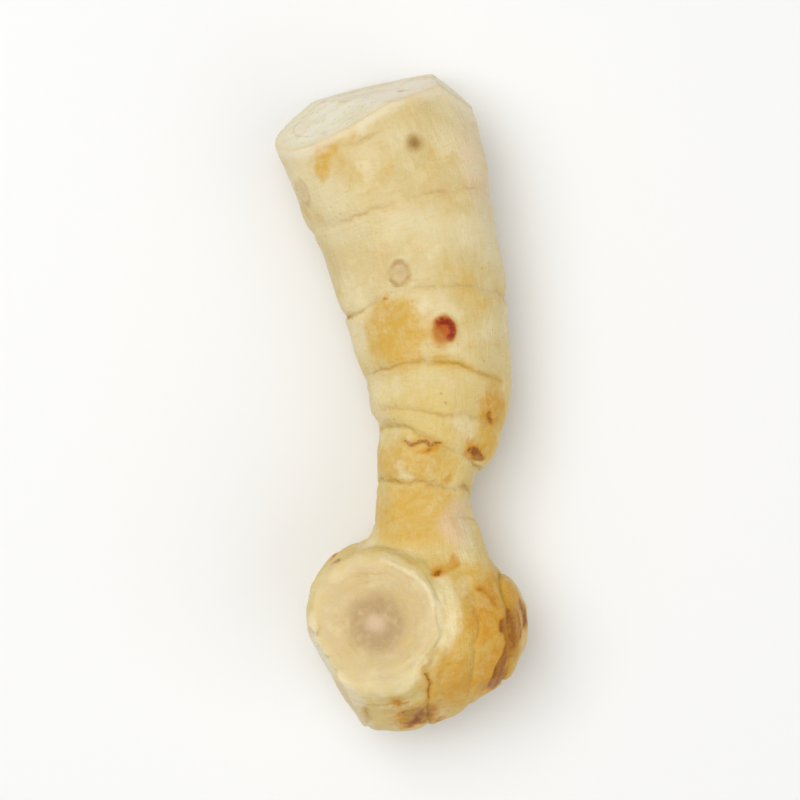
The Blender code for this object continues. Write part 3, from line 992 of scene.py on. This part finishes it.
class SkinNodes(Nodes):
    """The skin's nodes, with the noises and lines that its colour and relief share."""

    def __init__(self, name):
        super().__init__(name)
        self.place = self.add("ShaderNodeTexCoord").outputs["Object"]
        self.middle = self.noise(self.place, 4.0, 4.0, 0.6)
        self.fine = self.noise(self.place, 0.9, 4.0, 0.65)
        self.uneven = self.math("SUBTRACT", self.middle, 0.5)
        self.ragged = self.math("SUBTRACT", self.fine, 0.5)
        along = self.add("ShaderNodeAttribute", attribute_name="grain").outputs["Vector"]
        stretched = {0: along, 1: WRINKLE_STRETCH}
        across = self.add("ShaderNodeVectorMath", stretched, operation="MULTIPLY").outputs["Vector"]
        self.grain = self.math("ADD", self.drawn_out(along, 0.55), 0.5)
        self.wrinkles = self.drawn_out(across, 0.6)

        self.ring = self.math("ABSOLUTE", self.sum(self.value("ring"), self.ragged))
        self.ring_strength = self.math("MINIMUM", self.value("ring_strength"), 1.0)
        self.ring_band = self.times(self.fall(self.ring, 0.1, 0.75), self.ring_strength, 0.7)
        broken = self.ramp(self.middle, 0.36, 0.58)
        self.ring_line = self.times(self.fall(self.ring, 0.03, 0.30), self.ring_strength, broken)
        self.near_ring = self.times(self.fall(self.ring, 0.5, 2.2), self.ring_strength)

        radius = self.value("stem")
        self.stem = self.sum(radius, self.times(self.uneven, 2.0))
        # Hoops: faint rings on the stem scar, partly its own ring tone and partly painted shade in its
        # fine concentric wrinkles.
        hoops = self.math("SINE", self.sum(self.times(radius, 5.2), self.times(self.uneven, 20.0)))
        hoops = self.times(self.ramp(hoops, 0.2, 1.0), self.ramp(self.middle, 0.46, 0.66))
        self.hoops = self.times(hoops, self.ramp(self.stem, 3.0, 4.6), self.fall(self.stem, 8.0, 9.3))

        self.cut = self.value("cut")
        self.inside = self.sum(self.value("inside"), self.times(self.uneven, 0.8))
        places = {"Vector": self.place, "Scale": 1 / (1.15 * MM)}
        cells = self.add("ShaderNodeTexVoronoi", places).outputs["Distance"]
        dots = self.times(self.fall(cells, 0.12, 0.30), self.ramp(self.inside, 0.8, 2.0))
        self.dots = self.times(dots, self.ramp(self.fine, 0.35, 0.55), 0.36)

    def drawn_out(self, vector, size):
        """Noise about 0 that fades where limbs meet, on the stem scar and on cuts."""
        centred = self.math("SUBTRACT", self.noise(vector, size, 3.0, 0.6), 0.5)
        return self.times(centred, self.value("grain_share"))


def layered(n, base, layers):
    """A colour with others laid over it, each by its amount."""
    for amount, tint in layers:
        base = n.mix(amount, base, tint)
    return base


def ground_colour(n):
    """Cream skin, yellower on the thick joint, with drifts, grain and small specks."""
    drift = n.ramp(n.noise(n.place, 7.0, 4.0, 0.6), 0.54, 0.74)
    specks = n.ramp(n.noise(n.place, 1.3, 1.0), 0.74, 0.80)
    base = n.mix(n.ramp(n.noise(n.place, 14.0, 3.0), 0.40, 0.62), SKIN_CREAM, SKIN_BUFF)
    return layered(n, base, (
        (n.times(n.value("lower"), n.ramp(n.middle, 0.2, 0.6), 0.85), SKIN_YELLOW),
        (n.times(drift, 0.50), OCHRE),
        (n.times(n.ramp(n.grain, 0.50, 0.72), 0.12), OCHRE),
        (n.times(n.fall(n.grain, 0.30, 0.50), 0.12), PALE),
        (n.times(n.ramp(n.fine, 0.52, 0.75), 0.25), OCHRE),
        (n.times(n.fall(n.middle, 0.30, 0.48), 0.35), PALE),
        (n.times(specks, 0.45), SPOT_TAN),
    ))


def with_blots(n, base):
    """Blots with ragged, patchy edges, and paler skin beside the cuts."""
    patchy = n.ramp(n.noise(n.place, 1.8, 4.0, 0.65), 0.36, 0.62)
    patchy = n.math("ADD", 0.66, n.times(patchy, 0.42))
    for name, tint, low, high, share in (
        ("ochre", OCHRE, 0.1, 1.0, 0.90),
        ("orange", ORANGE, 0.0, 1.0, 0.82),
        ("pale", PALE, 0.1, 1.0, 0.85),
        ("pink", PINK, 0.1, 1.0, 0.70),
        ("brown", ORANGE, 0.0, 0.6, 1.0),
        ("brown", BROWN, 0.4, 1.0, 1.2),
    ):
        edge = n.sum(n.value(name), n.times(n.uneven, 0.8), n.times(n.ragged, 0.6))
        amount = n.times(n.ramp(edge, low, high), n.ramp(n.value(name), 0.0, 0.25), patchy, share)
        base = n.mix(amount, base, tint)
    near_cut = n.value("beside_cut")
    edge = n.ramp(n.sum(near_cut, n.times(n.uneven, 1.6)), 0.35, 1.1)
    return n.mix(n.times(edge, n.ramp(near_cut, 0.0, 0.3), 0.55), base, CUT_WHITE)


def with_rings(n, base):
    """Leaf scars: a soft band, a thin broken line, and wrinkles beside them."""
    wrinkled = n.math("ADD", 0.12, n.times(n.near_ring, 0.3))
    return layered(n, base, (
        (n.times(n.fall(n.ring, 0.1, 2.0), n.ring_strength, 0.25), OCHRE),
        (n.ring_band, RING_OCHRE),
        (n.times(n.ring_line, 0.75), RING_BROWN),
        (n.times(n.ramp(n.wrinkles, 0.02, 0.20), wrinkled), OCHRE),
    ))


def with_marks(n, base):
    """Ragged lines, each with a soft halo; the pale line's whitish colour is partly a painted highlight
    on its ridge.
    """
    for name, tint, halo_tint, share in (
        ("mark_ochre", RING_OCHRE, OCHRE, 0.60),
        ("mark_brown", RING_BROWN, ORANGE, 0.90),
        ("mark_pale_and_highlight", PALE_AND_HIGHLIGHT_WHITE, PALE, 0.90),
    ):
        gap = n.sum(n.value(name), n.times(n.ragged, 4.0))
        halo = n.times(n.fall(gap, 0.8, 4.0), n.fall(n.value(name), 3.0, 5.5), 0.45)
        line = n.times(n.fall(gap, 0.2, 1.7), n.ramp(n.fine, 0.25, 0.5), share)
        base = layered(n, base, ((halo, halo_tint), (line, tint)))
    return base


def with_root_scars(n, base):
    """Root scars as soft spots, thin rings and red pits, the pits painted one-sided as light and shade.
    """
    scar = n.sum(n.value("scar"), n.times(n.ragged, 0.45))
    spot, ringed, red = (n.value(name) for name in ("scar_spot", "scar_ring", "scar_red"))
    thin = n.times(n.fall(n.off(scar, 0.88), 0.04, 0.34), ringed)
    thin = n.times(thin, n.ramp(n.noise(n.place, 2.4, 2.0), 0.28, 0.56), 0.75)
    # The red pits' colours below follow scar_red, which is painted fuller on one side of each pit as
    # light and shade.
    pit_edge = n.times(n.ramp(red, 0.3, 0.8), n.fall(n.off(scar, 0.72), 0.10, 0.40))
    warm = n.math("MINIMUM", n.times(red, 1.6), 1.0)
    return layered(n, base, (
        (n.times(spot, n.fall(scar, 0.30, 1.10), 0.8), SPOT_TAN),
        (n.times(spot, n.fall(scar, 0.05, 0.60), 0.6), SPOT_BROWN),
        (n.times(ringed, n.fall(scar, 0.6, 1.3), 0.35), SCAR_BLUSH),
        (thin, SPOT_TAN),
        (n.times(warm, n.fall(scar, 0.75, 1.35), 0.95), ORANGE),
        (n.times(warm, n.fall(scar, 0.60, 1.10), 0.85), SCAR_RUST),
        (n.times(pit_edge, n.ramp(n.fine, 0.3, 0.55)), SCAR_RED),
    ))


def with_stem_scar(n, base):
    """The stem scar: a cream disc with faint hoops, partly painted shade in its fine wrinkles, a grey
    ring and a pale heart.
    """
    on_disc = n.fall(n.stem, 8.6, 10.0)
    tone = n.noise(n.place, 3.2, 4.0, 0.6)
    mottle = n.sum(n.times(n.fine, 0.35), n.times(n.noise(n.place, 2.4, 2.0), 0.65))
    return layered(n, base, (
        (n.times(n.fall(n.stem, 8.2, 10.4), 0.8), STEM_CREAM),
        (n.times(n.ramp(n.stem, 6.6, 9.2), n.fall(n.stem, 9.4, 10.6), 0.35), STEM_LIP),
        (n.times(n.ramp(tone, 0.48, 0.72), on_disc, 0.40), STEM_LIP),
        (n.times(n.fall(tone, 0.32, 0.52), on_disc, 0.30), SKIN_YELLOW),
        # The ochre on the hoops is partly the scar's own tone and partly painted shade in its wrinkles.
        (n.times(n.hoops, 0.22), OCHRE),
        (n.times(n.fall(n.stem, 2.4, 5.4), n.ramp(mottle, 0.20, 0.52), 0.74), STEM_GREY),
        (n.times(n.fall(n.stem, 0.4, 2.6), n.ramp(mottle, 0.26, 0.50), 0.75), STEM_HEART),
    ))


def flesh_colour(n):
    """Pale flesh on the cuts, with the ring of its sheath, dots of fibre and a painted shadow line where
    two cuts meet.
    """
    # A painted shadow line runs along the crease where the end face meets the other cuts.
    ridge = n.fall(n.off(n.value("cut_side"), 0.5), 0.1, 0.48)
    sheath = n.fall(n.off(n.inside, 3.4), 0.05, 0.40)
    base = n.mix(n.value("cut_side"), CUT_PINK, CUT_WHITE)
    return layered(n, base, (
        (n.times(n.ramp(n.middle, 0.45, 0.62), 0.5), CUT_GREEN),
        (n.times(ridge, n.ramp(n.middle, 0.4, 0.6), 0.25), RING_OCHRE),
        (n.times(n.fall(n.inside, 0.8, 3.4), 0.45), CUT_GREEN),
        (n.times(n.fall(n.inside, 0.1, 0.8), 0.30), OCHRE),
        (n.times(sheath, n.ramp(n.middle, 0.25, 0.6), 0.26), RING_OCHRE),
        (n.dots, SPOT_TAN),
        (n.times(n.value("brown"), 0.7), SPOT_TAN),
    ))


def fine_relief(n):
    """The direction of the surface, with pores, grain, wrinkles, ring lines and dots."""
    wrinkled = n.math("ADD", 0.20, n.times(n.near_ring, 0.30))
    relief = n.sum(
        n.times(n.fine, 0.20),
        n.times(n.noise(n.place, 0.30, 2.0), 0.07),
        n.times(n.middle, 0.12),
        n.times(n.grain, 0.20),
        n.times(n.wrinkles, wrinkled),
        n.times(n.ring_line, -0.10),
        n.times(n.hoops, -0.06),
        n.times(n.dots, n.cut, 0.05),
    )
    bump = n.add("ShaderNodeBump", {"Height": relief, "Distance": 1.0 * MM, "Strength": 0.8})
    return bump.outputs["Normal"]


def skin_material():
    """Fresh galangal: cream skin with ochre blots, ragged leaf scars and pale cuts."""
    n = SkinNodes("galangal_fresh_skin")
    base = ground_colour(n)
    for layer in (with_blots, with_rings, with_marks, with_root_scars, with_stem_scar):
        base = layer(n, base)
    rough = n.sum(0.40, n.times(n.fine, 0.16), n.times(n.ring_band, 0.15), n.times(n.cut, 0.06))
    for name, value in (
        ("Base Color", n.mix(n.cut, base, flesh_colour(n))),
        ("Roughness", rough),
        ("Subsurface Weight", 0.35),
        ("Subsurface Radius", (1.0, 0.55, 0.22)),
        ("Subsurface Scale", 0.9 * MM),
        ("Specular IOR Level", 0.25),
        ("Normal", fine_relief(n)),
    ):
        n.set(n.shader.inputs[name], value)
    return n.material


def plain_material(name, tint, roughness):
    n = Nodes(name)
    n.set(n.shader.inputs["Base Color"], tint)
    n.set(n.shader.inputs["Roughness"], roughness)
    return n.material


def floor():
    """A wide pale surface under the root."""
    mesh = bpy.data.meshes.new("floor")
    far = FLOOR_REACH
    corners = [(x, y, FLOOR_HEIGHT) for x, y in ((-far, -far), (far, -far), (far, far), (-far, far))]
    mesh.from_pydata(corners, [], [(0, 1, 2, 3)])
    made = bpy.data.objects.new("floor", mesh)
    bpy.context.scene.collection.objects.link(made)
    mesh.materials.append(plain_material("pale_floor", colour(0.88, 0.88, 0.87), 0.7))


def area_light(name, place, size, power):
    """A soft square light that points at the root."""
    data = bpy.data.lights.new(name, "AREA")
    data.size, data.energy = size, power
    lamp = bpy.data.objects.new(name, data)
    bpy.context.scene.collection.objects.link(lamp)
    lamp.location = place
    lamp.rotation_euler = (-Vector(place)).to_track_quat("-Z", "Y").to_euler()


def lights():
    area_light("key", (-0.20, 0.13, 0.62), 0.50, 2.85)
    area_light("fill", (0.36, -0.24, 0.42), 0.60, 0.92)
    world = bpy.data.worlds.new("studio")
    world.use_nodes = True
    background = world.node_tree.nodes["Background"]
    background.inputs["Color"].default_value = colour(1.0, 1.0, 1.0)
    background.inputs["Strength"].default_value = WORLD_STRENGTH
    bpy.context.scene.world = world
    bpy.context.scene.view_settings.view_transform = "Standard"


def camera():
    """Looks straight down, with the finger's end at the top of the picture."""
    data = bpy.data.cameras.new("camera")
    data.lens = LENS
    distance = SEEN_WIDTH * data.lens / data.sensor_width
    made = bpy.data.objects.new("camera", data)
    bpy.context.scene.collection.objects.link(made)
    made.location = (0.0, 0.0, distance + MIDDLE_HEIGHT)
    data.clip_start, data.clip_end = 0.01, 10.0
    bpy.context.scene.camera = made


camera()
lights()
floor()
skin = rhizome()
skin.data.materials.append(skin_material())
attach(skin, "root")
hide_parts(NODE)
